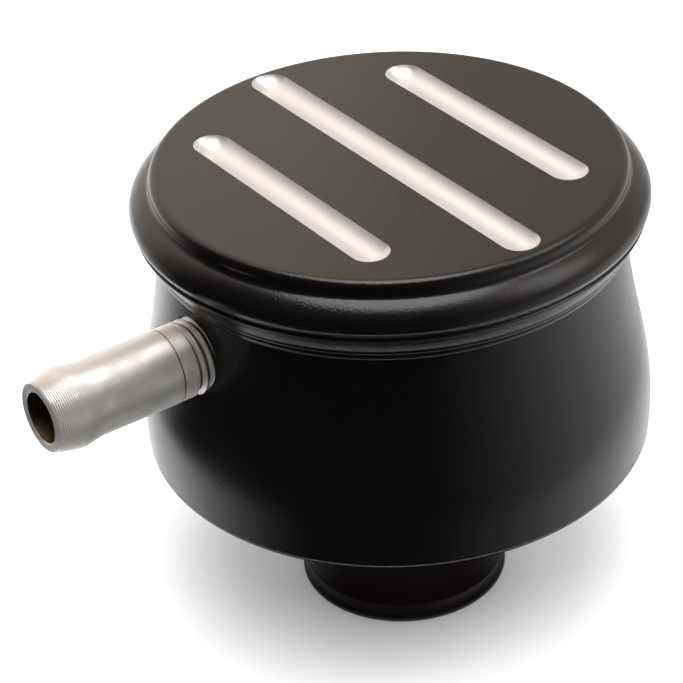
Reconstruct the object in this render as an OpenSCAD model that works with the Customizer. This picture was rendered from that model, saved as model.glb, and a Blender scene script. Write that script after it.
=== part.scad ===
// Push-in valve cover breather with a hose nipple.
// The origin is on the neck's axis, level with the body's underside.
// +Z points up to the cap, the nipple points along -Y and the flutes run along X.

/* [Neck] */
// Radius of the push-in neck
neck_r = 13.4; // [12.6:0.1:14.2]
// Wall of the neck
neck_wall = 2.2; // [1.6:0.1:2.6]
// How far the neck reaches below the body
neck_reach = 23.3; // [18:0.1:32]
// How far the foot bead stands out of the neck
foot_out = 0.3; // [0.15:0.05:0.6]
// Height of the foot bead
foot_h = 2.5; // [1.6:0.1:4]
// Depth of the fine groove above the foot bead
foot_groove = 0.1; // [0.05:0.05:0.3]
// Width of the neck's flange inside the body
flange_w = 6.9; // [6.5:0.1:8]
// Thickness of the neck's flange
flange_t = 2; // [1.4:0.1:3]
// Thickness of the gasket under the flange
gasket_t = 0.8; // [0.5:0.1:1.5]

/* [Body] */
// Height of the body from its underside to its rim
body_h = 33; // [31:0.1:38]
// Radius of the rim under the cap
rim_r = 31.95; // [31.4:0.05:33]
// Thickness of the rim at its edge
rim_t = 0.6; // [0.4:0.1:1]
// Height of the cove under the rim
cove_h = 2.1; // [1.5:0.1:3]
// Depth by which the cove is hollowed
cove_hollow = 0.05; // [0.05:0.05:0.4]
// Height of the upper bead
upper_bead_h = 0.6; // [0.4:0.1:0.9]
// How far the upper bead stands out of the waist
upper_bead_out = 0.95; // [0.85:0.05:1.3]
// Height of the lower bead
lower_bead_h = 1; // [0.7:0.1:1.5]
// How far the lower bead stands out of the waist
lower_bead_out = 0.65; // [0.4:0.05:0.8]
// Radius of the waist, just under the beads
waist_r = 29.45; // [29:0.05:30.2]
// Radius of the body at its foot
base_r = 32.68; // [31.5:0.05:34]
// How far the wall's curve leans out below the waist
waist_lean = 1.25; // [0.8:0.05:1.6]
// How far the belly swells past the foot
belly_swell = 0.75; // [0.3:0.05:1.2]
// Round at the foot of the body
base_round = 1.2; // [0.6:0.1:2.5]
// Wall between the waist and the bore
body_wall = 2.65; // [2.2:0.05:3.2]
// Thickness of the floor that the neck goes through
floor_t = 5.4; // [4.8:0.1:7]
// Width of the ledge that carries the filter's seat
ledge_w = 1.5; // [1:0.1:2.5]
// Fillet where the bore meets the floor
floor_fillet = 1.5; // [0.5:0.1:2.5]

/* [Cap] */
// Height of the cap above the rim
cap_h = 6.2; // [5.8:0.1:7.5]
// Radius of the raised disc on the cap
disc_r = 30; // [29.4:0.05:30.6]
// Round on the disc's edge
disc_round = 1.2; // [0.6:0.1:1.3]
// How far the cap's rolled lip stands out past the disc
lip_out = 2.39; // [2:0.05:3]
// Round of the lip below its fullest part
lip_round = 1.5; // [1.2:0.05:1.6]
// Height of the fullest part of the lip above the rim
lip_rise = 1.48; // [1.2:0.05:1.6]
// Round of the lip above its fullest part
crown_round = 2; // [1.6:0.1:2.4]
// Round of the shoulder above the crown
shoulder_round = 5.5; // [4.8:0.1:6]
// Round of the cove in which the shoulder runs up to the disc
disc_cove = 1; // [0.8:0.1:1.5]
// Depth of the spigot that drops into the body
spigot_h = 4.3; // [3.6:0.1:5]
// Wall of the spigot
spigot_wall = 4.1; // [3:0.1:4.4]
// Height of the hollow under the cap's top above the rim
hollow_rise = 2.3; // [1.5:0.1:2.8]
// Radius of the boss in the middle of the cap
boss_r = 6; // [5:0.1:8]

/* [Flutes] */
// Width of a flute across the disc
flute_w = 4.88; // [3.5:0.02:5.6]
// Depth of a flute
flute_depth = 1.25; // [0.6:0.05:1.5]
// Distance from one flute's centre line to the next
flute_pitch = 14.9; // [12:0.1:17]
// Distance from the middle flute's tip to the disc's edge
flute_margin = 1.3; // [0.8:0.1:5]
// Length of the outer flutes from tip to tip
outer_flute_l = 38.5; // [30:0.1:44]

/* [Nipple] */
// Distance from the rim down to the nipple's axis
nipple_drop = 10.5; // [9.8:0.1:12]
// Radius of the hose tube
tube_r = 4.76; // [4.4:0.02:5]
// Radius of the nipple's bore
tube_bore_r = 3.25; // [2.6:0.05:3.6]
// Distance from the breather's axis to the nipple's mouth
mouth_at = 51.35; // [46:0.05:60]
// How far the hose barb stands out of the tube
barb_out = 0.39; // [0.2:0.01:0.7]
// Distance from the mouth back to the barb's crest
barb_crest_l = 3.7; // [3:0.1:5]
// Length of the whole barb
barb_l = 6.3; // [5.6:0.1:7.5]
// Radius of the mouth's outer edge
mouth_r = 4.45; // [4.2:0.01:4.7]
// Chamfer on the mouth's outer edge
mouth_chamfer = 0.15; // [0.05:0.05:0.4]
// Distance from the breather's axis to the end of the pipe thread
thread_end_at = 31.9; // [31.4:0.1:34]
// Radius over the crests at the end of the pipe thread
thread_r = 4.8; // [4.7:0.02:5.2]
// Width of the smooth band between thread and tube
band_w = 2.1; // [1:0.1:4]
// Depth of the score line at the end of the smooth band
score_depth = 0.15; // [0.05:0.01:0.3]
// How far the nipple's inner end stands into the bore
nipple_inside = 1.2; // [0.6:0.1:2]

/* [Filter] */
// Height of the filter element
filter_h = 11; // [9:0.1:12.5]
// Gap between the filter screen and the body's bore
plenum_w = 5.7; // [4.4:0.1:7]
// Outer radius of the perforated core
core_r = 8; // [7:0.1:9.5]
// Thickness of the perforated core and the screen
mesh_t = 0.6; // [0.5:0.1:1]
// Radius of the holes in the core and the screen
mesh_hole_r = 1.1; // [0.8:0.1:1.3]
// Rows of holes up the core and the screen
mesh_rows = 3; // [2:1:3]
// Holes in each row of the core
core_holes = 10; // [6:1:12]
// Holes in each row of the screen
screen_holes = 18; // [12:1:24]
// Thickness of the filter's seat and of its lid
plate_t = 1; // [0.8:0.1:1.6]
// Height of the way in between the splash baffle and the filter's seat
way_in = 2; // [1.5:0.1:4]

/* [Carrier and baffle] */
// Thickness of the carrier plate
carrier_t = 1.2; // [1:0.1:2]
// Radius of a gas window in the carrier plate
window_r = 2.5; // [2:0.1:2.6]
// Number of gas windows
window_count = 6; // [4:1:6]
// Height of the spacer under the splash baffle
spacer_h = 2; // [1.9:0.1:4]
// Thickness of the splash baffle
baffle_t = 0.8; // [0.6:0.1:1.2]
// How far the baffle's edge droops
baffle_droop = 1.2; // [0.4:0.1:1.5]
// Wall of the spacer and of the sleeve
sleeve_wall = 1.4; // [1:0.1:2]

/* [Fasteners] */
// Radius of the tie screw, a No. 10 screw
tie_r = 2.41; // [2:0.01:2.6]
// Length of tie screw that turns into the cap's boss
tie_grip = 7.2; // [5:0.1:7.5]
// Radius of the tie screw's head
tie_head_r = 3.96; // [3.6:0.02:4.4]
// Height of the tie screw's head
tie_head_h = 4.83; // [4:0.01:5.5]
// Width across the flats of the tie screw's socket
tie_socket_w = 3.97; // [3:0.01:4.2]
// Outer radius of the flat washer
flat_washer_r = 5.55; // [5:0.05:6]
// Thickness of the flat washer
flat_washer_t = 1.2; // [0.8:0.1:1.6]
// Outer radius of the split lock washer
lock_washer_r = 4.2; // [4:0.05:4.6]
// Thickness of the split lock washer
lock_washer_t = 1.2; // [0.8:0.1:1.6]
// Radius of a neck screw, a No. 4 screw
neck_screw_r = 1.42; // [1.2:0.01:1.5]
// Length of a neck screw under its head
neck_screw_l = 7.94; // [7:0.01:8.4]
// Radius of a neck screw's head
neck_head_r = 2.7; // [2.4:0.05:2.8]
// Height of a neck screw's head
neck_head_h = 1.5; // [1.2:0.05:1.6]
// Width across the flats of a neck screw's socket
neck_socket_w = 1.59; // [1.2:0.01:1.8]
// Number of neck screws
neck_screw_count = 3; // [3:1:3]

/* [Seal] */
// Thickness of the cap's O-ring cord before it is squeezed
ring_d = 1.78; // [1.6:0.02:1.9]
// Share of its thickness by which the ring is squeezed
ring_squeeze = 0.12; // [0.08:0.01:0.2]
// Room along the axis that the ring's groove has beside the ring
ring_room = 0.45; // [0.3:0.05:0.6]

/* [Fits] */
// Radial clearance of the spigot in the bore
spigot_fit = 0.2; // [0.1:0.05:0.4]
// Radial clearance of the neck in the floor's hole
neck_fit = 0.05; // [0.02:0.01:0.2]
// Step by which the neck's pilot is larger than its shaft
pilot_step = 0.1; // [0.05:0.01:0.2]
// Radial clearance between threads
thread_fit = 0.03; // [0.01:0.01:0.06]
// Radial clearance of a screw in a plain hole
screw_fit = 0.2; // [0.1:0.05:0.4]
// Radial clearance of the filter's seat, element and screen
filter_fit = 0.1; // [0.05:0.05:0.3]
// Gap left between the ring and the walls that squeeze it
ring_fit = 0.01; // [0.01:0.01:0.05]
// Room past a screw's tip in its blind hole
tip_room = 0.3; // [0.2:0.1:0.6]

/* [Hidden] */

$fn = 96;
black = "#1d1b1b";
neck_black = "#241f1d";
silver = "#c3c1bd";
steel = "#9b9b99";
rubber_black = "#161616";
foam_grey = "#4b4d50";
// A cutter reaches this far past the face that it opens
past = 1;
// Metal left beside a window, and room left beside a screw's head
margin = 0.5;
// How far the filter's lid overhangs the screen
lid_overhang = 0.5;
// Steps in the profile's small arcs and in its long curves
arc_steps = 10;
curve_steps = 24;

// Radii that follow from the sizes above
lip_r = disc_r + lip_out;
neck_bore_r = neck_r - neck_wall;
pilot_r = neck_r + pilot_step;
floor_hole_r = pilot_r + neck_fit;
flange_r = neck_r + flange_w;
bore_r = waist_r - body_wall;
low_bore_r = bore_r - ledge_w;
screw_circle_r = (floor_hole_r + flange_r) / 2;
window_circle_r = neck_bore_r - window_r - margin;
baffle_r = screw_circle_r - neck_head_r - margin;
sleeve_bore_r = tie_r + screw_fit;
sleeve_r = sleeve_bore_r + sleeve_wall;
screen_r = bore_r - plenum_w;
element_r = screen_r - mesh_t - filter_fit;
lid_r = screen_r + lid_overhang;
seat_hole_r = core_r - mesh_t;
spigot_r = bore_r - spigot_fit;

// Heights of the pieces stacked up on the floor
flange_z = floor_t + gasket_t;
carrier_z = flange_z + flange_t;
spacer_z = carrier_z + carrier_t;
baffle_z = spacer_z + spacer_h;
sleeve_z = baffle_z + baffle_t;
seat_z = sleeve_z + way_in;
filter_z = seat_z + plate_t;
lid_z = filter_z + filter_h;
boss_z = lid_z + plate_t;
nipple_z = body_h - nipple_drop;
cap_z = body_h + cap_h;
head_z = carrier_z - flat_washer_t - lock_washer_t;
tie_tip_z = boss_z + tie_grip;

function arc(c, r, a0, a1, n) =
    [for (i = [0:n]) let (a = a0 + (a1 - a0) * i / n) c + r * [cos(a), sin(a)]];

// An arc from p0 to p1 that swells to the left of the way by s, or to the right when s is below 0
function bow(p0, p1, s, n) =
    let (d = p1 - p0, l = norm(d), side = [-d[1], d[0]] / l)
    [for (i = [0:n]) let (t = i / n) p0 + t * d + 4 * s * t * (1 - t) * side];

function curve(p0, p1, p2, p3, n) =
    [for (i = [0:n]) let (t = i / n, u = 1 - t)
        u * u * u * p0 + 3 * u * u * t * p1 + 3 * u * t * t * p2 + t * t * t * p3];

function turned(i, n) = 90 + 360 * i / n;

// Neck: a turned tube with a foot bead below and a clamping flange inside the body
module neck() {
    foot = -neck_reach;
    edge = 0.4;
    groove_w = 0.35;
    groove_z = foot + foot_h;
    outline = concat(
        [[neck_bore_r, foot + edge], [neck_bore_r + edge, foot]],
        arc([neck_r + foot_out - edge, foot + edge], edge, -90, 0, 4),
        // The bead keeps its full width for half its height, then swells in to the groove
        bow([neck_r + foot_out, foot + foot_h / 2], [neck_r - foot_groove, groove_z], -0.06, 6),
        [[neck_r - foot_groove, groove_z + groove_w / 2],
         [neck_r, groove_z + groove_w], [neck_r, 0], [pilot_r, 0], [pilot_r, flange_z],
         [flange_r, flange_z], [flange_r, carrier_z], [neck_bore_r, carrier_z]]);
    color(neck_black)
    difference() {
        rotate_extrude() polygon(outline);
        neck_screw_holes(neck_screw_r + screw_fit, flange_z, carrier_z);
    }
}

module neck_screw_holes(r, z0, z1) {
    for (i = [0:neck_screw_count - 1])
        rotate([0, 0, turned(i, neck_screw_count)])
            translate([screw_circle_r, 0, z0 - past])
                cylinder(r = r, h = z1 - z0 + 2 * past);
}

module neck_gasket() {
    color(rubber_black)
    difference() {
        translate([0, 0, floor_t]) cylinder(r = flange_r, h = gasket_t);
        translate([0, 0, floor_t - past]) cylinder(r = floor_hole_r, h = gasket_t + 2 * past);
        neck_screw_holes(neck_screw_r + screw_fit, floor_t, flange_z);
    }
}

// Body: a turned bowl with a rolled rim, two beads, a waist and a belly
module body() {
    edge = 0.15;
    rim_round = rim_t / 2 + 0.05;
    cove_top = body_h - rim_t;
    bead_top = cove_top - cove_h;
    bead_split = bead_top - upper_bead_h;
    bead_foot = bead_split - lower_bead_h;
    waist_step = 0.3;
    waist_z = bead_foot - waist_step;
    wall_h = waist_z - base_round;
    // Shares of the wall's height at which its curve is pulled outwards
    belly_share = 0.41;
    waist_share = 0.49;
    // The fine groove between the beads, and how far each bead leans in and swells
    split_half = 0.12;
    split_depth = 0.1;
    lower_lean = 0.38;
    lower_swell = 0.12;
    upper_lean = 0.1;
    upper_swell = 0.06;
    upper_r = waist_r + upper_bead_out;
    lower_r = waist_r + lower_bead_out;
    lead_in = 0.4;
    outside = concat(
        arc([base_r - base_round, base_round], base_round, -90, 0, arc_steps),
        curve([base_r, base_round + split_half],
              [base_r + belly_swell, base_round + belly_share * wall_h],
              [waist_r + waist_lean, waist_z - waist_share * wall_h],
              [waist_r, waist_z], curve_steps),
        bow([lower_r - lower_lean, bead_foot], [lower_r, bead_split - split_half],
            -lower_swell, 6),
        [[lower_r - split_depth, bead_split]],
        bow([upper_r - upper_lean, bead_split + split_half], [upper_r + upper_lean, bead_top],
            -upper_swell, 4),
        bow([upper_r + upper_lean, bead_top + split_half], [rim_r - rim_round, cove_top],
            cove_hollow, 6),
        arc([rim_r - rim_round, cove_top + rim_round], rim_round, -85, 0, 6),
        [[rim_r, body_h - edge], [rim_r - edge, body_h]]);
    inside = concat(
        [[bore_r + lead_in, body_h], [bore_r, body_h - lead_in], [bore_r, seat_z],
         [low_bore_r, seat_z]],
        arc([low_bore_r - floor_fillet, floor_t + floor_fillet], floor_fillet, 0, -90, 6),
        [[floor_hole_r, floor_t], [floor_hole_r, 0]]);
    hole_l = base_r + past - bore_r + ledge_w;
    color(black)
    difference() {
        rotate_extrude() polygon(concat(outside, inside));
        translate([0, -bore_r + ledge_w, nipple_z])
            rotate([90, 0, 0]) cylinder(r = thread_r + thread_fit, h = hole_l);
        for (i = [0:neck_screw_count - 1])
            rotate([0, 0, turned(i, neck_screw_count)])
                translate([screw_circle_r, 0, spacer_z - neck_screw_l - tip_room])
                    cylinder(r = neck_screw_r + thread_fit, h = neck_screw_l);
    }
}

// Neck screws: button heads that hold carrier plate, flange and gasket down on the floor
module neck_screw(i) {
    crown_r = (pow(neck_head_r, 2) + pow(neck_head_h, 2)) / (2 * neck_head_h);
    crown = asin(neck_head_r / crown_r);
    socket = 0.6 * neck_head_h;
    outline = concat(
        [[0, -neck_screw_l], [neck_screw_r - 0.3, -neck_screw_l],
         [neck_screw_r, 0.3 - neck_screw_l], [neck_screw_r, 0]],
        arc([0, neck_head_h - crown_r], crown_r, 90 - crown, 90, arc_steps));
    color(steel)
    rotate([0, 0, turned(i, neck_screw_count)]) translate([screw_circle_r, 0, spacer_z])
    difference() {
        rotate_extrude() polygon(outline);
        translate([0, 0, neck_head_h - socket])
            cylinder(d = neck_socket_w / cos(30), h = socket + past, $fn = 6);
    }
}

// Carrier plate: spans the neck, lets the gas through its windows and anchors the tie screw
module carrier_plate() {
    color(steel)
    difference() {
        translate([0, 0, carrier_z]) cylinder(r = flange_r, h = carrier_t);
        translate([0, 0, carrier_z - past]) {
            cylinder(r = tie_r + screw_fit, h = carrier_t + 2 * past);
            for (i = [0:window_count - 1])
                rotate([0, 0, 360 * i / window_count])
                    translate([window_circle_r, 0, 0])
                        cylinder(r = window_r, h = carrier_t + 2 * past);
        }
        neck_screw_holes(neck_screw_r + screw_fit, carrier_z, spacer_z);
    }
}

module tube(r, bore, z0, z1) {
    difference() {
        translate([0, 0, z0]) cylinder(r = r, h = z1 - z0);
        translate([0, 0, z0 - past]) cylinder(r = bore, h = z1 - z0 + 2 * past);
    }
}

module lower_spacer() {
    color(steel) tube(sleeve_r, sleeve_bore_r, spacer_z, baffle_z);
}

// Splash baffle: a dished disc that throws oil back down the neck
module splash_baffle() {
    flat_r = sleeve_r + 1.5;
    color(steel)
    rotate_extrude() polygon([
        [sleeve_bore_r, baffle_z], [flat_r, baffle_z], [baffle_r, baffle_z - baffle_droop],
        [baffle_r, sleeve_z - baffle_droop], [flat_r, sleeve_z], [sleeve_bore_r, sleeve_z]]);
}

module baffle_sleeve() {
    color(steel) tube(sleeve_r, sleeve_bore_r, sleeve_z, lid_z);
}

// Filter: gas rises into the core and leaves outwards through foam and screen
module filter_seat() {
    color(steel) tube(bore_r - filter_fit, seat_hole_r, seat_z, filter_z);
}

module perforated(r, holes) {
    step = filter_h / (mesh_rows + 0.5);
    difference() {
        tube(r, r - mesh_t, filter_z, lid_z);
        for (row = [0:mesh_rows - 1], i = [0:holes - 1])
            rotate([0, 0, 360 * (i + 0.5 * (row % 2)) / holes])
                translate([r - mesh_t - past, 0, filter_z + (row + 0.75) * step])
                    rotate([0, 90, 0]) cylinder(r = mesh_hole_r, h = mesh_t + 2 * past);
    }
}

module filter_core() {
    color(steel) perforated(core_r, core_holes);
}

module filter_element() {
    color(foam_grey) tube(element_r, core_r + filter_fit, filter_z, lid_z);
}

module filter_screen() {
    color(steel) perforated(screen_r, screen_holes);
}

module filter_lid() {
    color(steel) tube(lid_r, sleeve_bore_r, lid_z, boss_z);
}

// Cap: a rolled lip under a raised disc, with a spigot and a tapped boss on its underside
gland_r = bore_r - ring_d * (1 - ring_squeeze);
ring_t = bore_r - gland_r - 2 * ring_fit;
ring_h = ring_t + PI * (pow(ring_d, 2) - pow(ring_t, 2)) / 4 / ring_t;
gland_h = ring_h + ring_room;
gland_z = body_h - spigot_h / 2 - gland_h / 2;

module cap() {
    lip_c = [lip_r - lip_round, body_h + lip_rise];
    crown_c = [lip_r - crown_round, body_h + lip_rise];
    crown_turn = 40;
    shoulder_c = crown_c - (shoulder_round - crown_round) * [cos(crown_turn), sin(crown_turn)];
    // The cove touches the disc's wall and the shoulder
    reach = shoulder_round + disc_cove;
    cove_r = disc_r + disc_cove;
    cove_z = shoulder_c[1] + sqrt(pow(reach, 2) - pow(cove_r - shoulder_c[0], 2));
    cove_turn = acos((cove_r - shoulder_c[0]) / reach);
    least_wall = 0.1;
    disc_edge = min(disc_round, cap_z - cove_z - least_wall);
    under = 40;
    foot_r = lip_c[0] + lip_round * cos(under) - 0.3;
    inner_r = spigot_r - spigot_wall;
    edge = 0.4;
    ceiling = body_h + hollow_rise;
    outline = concat(
        [[0, boss_z], [boss_r, boss_z], [boss_r, ceiling], [inner_r, ceiling],
         [inner_r, body_h - spigot_h], [spigot_r - edge, body_h - spigot_h],
         [spigot_r, body_h - spigot_h + edge], [spigot_r, gland_z], [gland_r, gland_z],
         [gland_r, gland_z + gland_h], [spigot_r, gland_z + gland_h], [spigot_r, body_h],
         [foot_r, body_h], [foot_r + 0.15, body_h + 0.15]],
        arc(lip_c, lip_round, -under, 0, arc_steps),
        arc(crown_c, crown_round, 4, crown_turn, arc_steps),
        arc(shoulder_c, shoulder_round, crown_turn + 2, cove_turn, arc_steps),
        arc([cove_r, cove_z], disc_cove, 180 + cove_turn - 6, 180, arc_steps),
        arc([disc_r - disc_edge, cap_z - disc_edge], disc_edge, 0, 90, arc_steps),
        [[0, cap_z]]);
    color(black)
    difference() {
        rotate_extrude() polygon(outline);
        flute(2 * (disc_r - flute_margin), 0);
        flute(outer_flute_l, flute_pitch);
        flute(outer_flute_l, -flute_pitch);
        translate([0, 0, boss_z - past])
            cylinder(r = tie_r + thread_fit, h = tie_grip + tip_room + past);
    }
}

// A flute is the track of a ball-nosed cutter, turned here as one round-ended bar
module flute(l, y) {
    ball_r = (pow(flute_w / 2, 2) + pow(flute_depth, 2)) / (2 * flute_depth);
    half = l / 2 - flute_w / 2;
    translate([0, y, cap_z - flute_depth + ball_r]) rotate([0, 90, 0])
    rotate_extrude() intersection() {
        union() {
            translate([0, half]) circle(r = ball_r);
            translate([0, -half]) circle(r = ball_r);
            translate([0, -half]) square([ball_r, 2 * half]);
        }
        translate([0, -l]) square([2 * ball_r, 2 * l]);
    }
}

// O-ring: squeezed from a round cord to a flat-sided one of the same section area
module cap_o_ring() {
    mid = gland_r + ring_fit + ring_t / 2;
    low = gland_z + (gland_h - ring_h) / 2 + ring_t / 2;
    high = low + ring_h - ring_t;
    color(rubber_black)
    rotate_extrude() polygon(concat(
        arc([mid, low], ring_t / 2, 180, 360, 16),
        arc([mid, high], ring_t / 2, 0, 180, 16)));
}

// Nipple: a turned tube with a pipe thread, a smooth band and a hose barb
module hose_nipple() {
    inner = bore_r - nipple_inside;
    band_end = thread_end_at + band_w;
    // The smooth band is cut a little below the tube and ends in a score line
    band_r = tube_r - 0.06;
    score_w = 0.2;
    // A pipe thread narrows by one part in 32 of its length on each side
    taper = 1 / 32;
    lead_in = 0.4;
    crest = mouth_at - barb_crest_l;
    barb_foot = mouth_at - barb_l;
    barb_r = tube_r + barb_out;
    crest_half = 0.3;
    bore_edge = 0.1;
    outline = concat(
        [[tube_bore_r, inner], [thread_r - taper * (thread_end_at - inner) - lead_in, inner],
         [thread_r - taper * (thread_end_at - inner - lead_in), inner + lead_in],
         [thread_r, thread_end_at], [band_r, thread_end_at + score_w], [band_r, band_end],
         [tube_r - score_depth, band_end + score_w / 2],
         [tube_r, band_end + score_w]],
        bow([tube_r, barb_foot], [barb_r, crest - crest_half], 0.03, 6),
        bow([barb_r, crest + crest_half], [mouth_r, mouth_at - mouth_chamfer], -0.08, 6),
        [[mouth_r - mouth_chamfer, mouth_at], [tube_bore_r + bore_edge, mouth_at],
         [tube_bore_r, mouth_at - bore_edge]]);
    color(silver)
    translate([0, 0, nipple_z]) rotate([90, 0, 0]) rotate_extrude() polygon(outline);
}

// Tie screw: a socket cap screw put in from below, through the whole stack into the cap
module tie_screw() {
    socket = 0.5 * tie_head_h;
    edge = 0.3;
    foot = head_z - tie_head_h;
    color(steel)
    difference() {
        rotate_extrude() polygon([
            [0, foot], [tie_head_r - edge, foot], [tie_head_r, foot + edge],
            [tie_head_r, head_z], [tie_r, head_z], [tie_r, tie_tip_z - 2 * edge],
            [tie_r - edge, tie_tip_z], [0, tie_tip_z]]);
        translate([0, 0, foot - past])
            cylinder(d = tie_socket_w / cos(30), h = socket + past, $fn = 6);
    }
}

module flat_washer() {
    color(steel) tube(flat_washer_r, tie_r + screw_fit, carrier_z - flat_washer_t, carrier_z);
}

module lock_washer() {
    split = 12;
    bore = tie_r + screw_fit;
    color(steel)
    translate([0, 0, head_z])
        rotate_extrude(angle = 360 - split)
            translate([bore, 0]) square([lock_washer_r - bore, lock_washer_t]);
}

body();
neck();
neck_gasket();
neck_screw(0);  // neck_screw_1
neck_screw(1);  // neck_screw_2
neck_screw(2);  // neck_screw_3
carrier_plate();
lower_spacer();
splash_baffle();
baffle_sleeve();
filter_seat();
filter_core();
filter_element();
filter_screen();
filter_lid();
cap();
cap_o_ring();
hose_nipple();
tie_screw();
flat_washer();
lock_washer();
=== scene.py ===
import math

import bmesh
import bpy
from mathutils import Euler, Matrix, Vector


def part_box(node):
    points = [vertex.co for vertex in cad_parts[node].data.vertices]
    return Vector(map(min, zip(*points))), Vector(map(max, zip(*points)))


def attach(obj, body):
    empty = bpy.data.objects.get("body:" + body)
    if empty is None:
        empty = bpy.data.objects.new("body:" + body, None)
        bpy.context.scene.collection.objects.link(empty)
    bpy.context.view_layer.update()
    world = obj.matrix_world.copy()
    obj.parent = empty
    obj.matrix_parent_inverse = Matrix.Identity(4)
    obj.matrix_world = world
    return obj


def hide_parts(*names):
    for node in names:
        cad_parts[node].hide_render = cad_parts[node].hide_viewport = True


bl_info = {
    "name": "Valve cover breather",
    "version": (1, 0, 0),
    "blender": (4, 5, 0),
    "location": "3D View > Sidebar > Breather",
    "description": "Dresses the breather's solids in turned, milled and coated surfaces",
    "category": "Object",
}

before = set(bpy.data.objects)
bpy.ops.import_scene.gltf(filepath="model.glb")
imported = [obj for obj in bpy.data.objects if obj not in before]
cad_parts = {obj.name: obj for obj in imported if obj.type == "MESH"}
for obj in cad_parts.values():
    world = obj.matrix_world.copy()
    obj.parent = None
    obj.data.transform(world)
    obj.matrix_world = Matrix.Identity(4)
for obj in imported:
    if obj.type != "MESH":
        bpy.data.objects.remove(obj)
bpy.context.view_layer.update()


def mm(value):
    """Millimetres as metres."""
    return value * 0.001


# The lowest and highest corners of the solids' boxes
BODY_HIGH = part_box("body")[1]
CAP_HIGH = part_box("cap")[1]
NECK_LOW, NECK_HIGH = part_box("neck")
NIPPLE_LOW, NIPPLE_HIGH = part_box("hose_nipple")

BODY_HEIGHT = BODY_HIGH[2]
CAP_TOP = CAP_HIGH[2]
LIP_RADIUS = CAP_HIGH[0]
NECK_REACH = -NECK_LOW[2]
NIPPLE_AXIS = (NIPPLE_LOW[2] + NIPPLE_HIGH[2]) / 2
# The nipple points along -Y, so these are distances from the breather's axis
MOUTH_AT = -NIPPLE_LOW[1]
NIPPLE_INNER = -NIPPLE_HIGH[1]
BARB_RADIUS = NIPPLE_HIGH[0]

FULL_TURN = 2 * math.pi
QUARTER_TURN = math.pi / 2
SHARP_ANGLE = math.radians(30)
# Metres within which two points are one, and within which an edge has no length
SAME_POINT = 1e-7
NO_LENGTH = 1e-8
# Most of a noise pattern's values lie between these
NOISE_LOW, NOISE_HIGH = 0.3, 0.7


def length(name, description, value):
    """A size in metres that the sidebar shows."""
    return bpy.props.FloatProperty(
        name=name, description=description, default=value, unit="LENGTH", precision=5
    )


def colour(name, description, value):
    """A colour written as sRGB hex, kept linear as Blender's sockets want it."""
    return bpy.props.FloatVectorProperty(
        name=name, description=description, default=linear(value), subtype="COLOR", size=3
    )


def linear(code):
    """Linear RGB from an sRGB hex code such as 1d1b1b."""
    parts = [int(code[i : i + 2], 16) / 255 for i in (0, 2, 4)]
    return tuple(c / 12.92 if c <= 0.04045 else ((c + 0.055) / 1.055) ** 2.4 for c in parts)


class BreatherBodySizes(bpy.types.PropertyGroup):
    """Sizes of the turned bowl"""

    rim_radius: length("Rim radius", "Radius of the rim under the cap", mm(31.95))
    rim_thickness: length("Rim thickness", "Height of the rim's edge", mm(0.6))
    cove_height: length("Cove height", "Height of the cove under the rim", mm(2.1))
    cove_hollow: length("Cove hollow", "Depth of the cove's curve", mm(0.05))
    upper_bead: length("Upper bead", "Height of the upper bead", mm(0.6))
    upper_out: length("Upper bead stand", "How far the upper bead stands out", mm(0.95))
    lower_bead: length("Lower bead", "Height of the lower bead", mm(1.0))
    lower_out: length("Lower bead stand", "How far the lower bead stands out", mm(0.65))
    waist_radius: length("Waist radius", "Radius just under the beads", mm(29.45))
    base_radius: length("Foot radius", "Radius at the body's foot", mm(32.68))
    waist_lean: length("Waist lean", "How far the wall leans out below the waist", mm(1.25))
    belly_swell: length("Belly swell", "How far the belly swells past the foot", mm(0.75))
    base_round: length("Foot round", "Round at the body's foot", mm(1.2))
    bore_radius: length("Bore radius", "Radius of the bowl's bore", mm(26.8))
    ledge_width: length("Ledge width", "Width of the ledge in the bore", mm(1.5))
    ledge_at: length("Ledge height", "Height of the ledge in the bore", mm(14.2))
    floor: length("Floor", "Thickness of the floor", mm(5.4))
    floor_hole: length("Floor hole", "Radius of the hole for the neck", mm(13.55))


class BreatherCapSizes(bpy.types.PropertyGroup):
    """Sizes of the cap and its flutes"""

    disc_radius: length("Disc radius", "Radius of the raised disc", mm(29.7))
    disc_round: length("Disc round", "Round on the disc's edge", mm(1.2))
    disc_cove: length("Disc cove", "Round of the cove at the disc's foot", mm(1.0))
    lip_round: length("Lip round", "Round of the lip's underside", mm(1.5))
    crown_round: length("Crown round", "Round above the lip's fullest part", mm(2.0))
    lip_rise: length("Lip rise", "Height of the lip's fullest part over the rim", mm(1.48))
    shoulder_round: length("Shoulder round", "Round of the shoulder above the crown", mm(5.5))
    flute_width: length("Flute width", "Width of a flute across the disc", mm(4.88))
    flute_depth: length("Flute depth", "Depth of a flute", mm(1.25))
    flute_pitch: length("Flute pitch", "From one flute's centre line to the next", mm(14.9))
    flute_margin: length("Flute margin", "From the middle flute's tip to the edge", mm(1.3))
    outer_flute: length("Outer flute", "Length of the outer flutes", mm(38.5))
    spigot_height: length("Spigot height", "How far the spigot reaches into the bore", mm(4.3))
    spigot_wall: length("Spigot wall", "Wall of the spigot", mm(4.1))
    spigot_fit: length("Spigot fit", "Room round the spigot", mm(0.2))
    hollow_rise: length("Hollow rise", "Height of the ceiling over the rim", mm(2.3))
    boss_radius: length("Boss radius", "Radius of the tie screw's boss", mm(6))
    tie_hole: length("Tie screw hole", "Radius of the boss's tapped hole", mm(2.44))
    tie_depth: length("Tie hole depth", "Depth of the boss's tapped hole", mm(7.5))
    gland_radius: length("Gland radius", "Radius at the bottom of the seal's groove", mm(25.234))
    gland_height: length("Gland height", "Height of the seal's groove", mm(2.391))


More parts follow.
